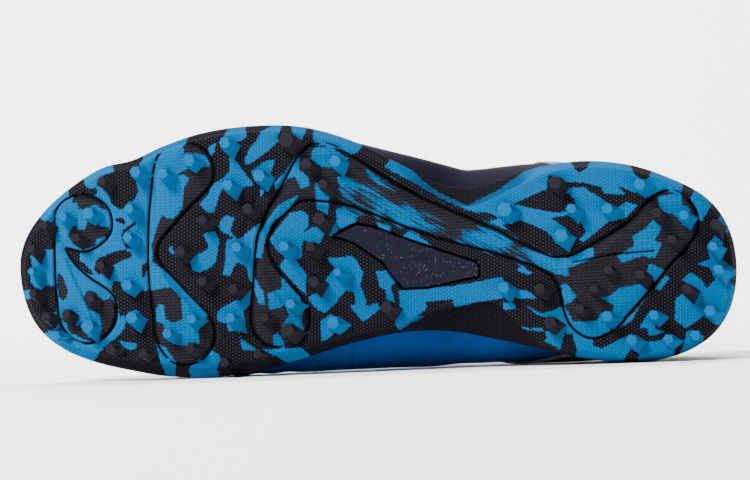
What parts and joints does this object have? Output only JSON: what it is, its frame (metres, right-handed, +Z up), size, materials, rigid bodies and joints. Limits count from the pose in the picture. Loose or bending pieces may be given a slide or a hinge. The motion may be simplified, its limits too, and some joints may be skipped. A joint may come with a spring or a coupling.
{
  "type": "football shoe",
  "caption": "Low turf football shoe for the left foot, with a studded rubber sole, a hollow upper, padded tongue, laces and insole, lying on its inner side.",
  "frame": {"origin": "centre of the shoe's box, on the floor it lies on", "axes": "the shoe lies on its medial side: -X points to the toe, -Y the way the sole faces, +Z up to the lateral side"},
  "size_m": [0.2898, 0.1088, 0.1004],
  "materials": {
    "outsole": "satin rubber in two colours, blue and near black",
    "arch_plate": "hard plastic with fine sparkle",
    "upper": "satin synthetic leather",
    "heel_counter": "moulded, with fine ribs",
    "tongue": "padded knit",
    "insole": "brushed fabric on foam",
    "laces": "flat woven lace"
  },
  "bodies": {
    "root": {"outsole": "outsole", "arch_plate": "arch_plate", "upper": "upper", "heel_counter": "heel_counter", "tongue": "tongue", "insole": "insole", "laces": "laces"}
  },
  "joints": []
}
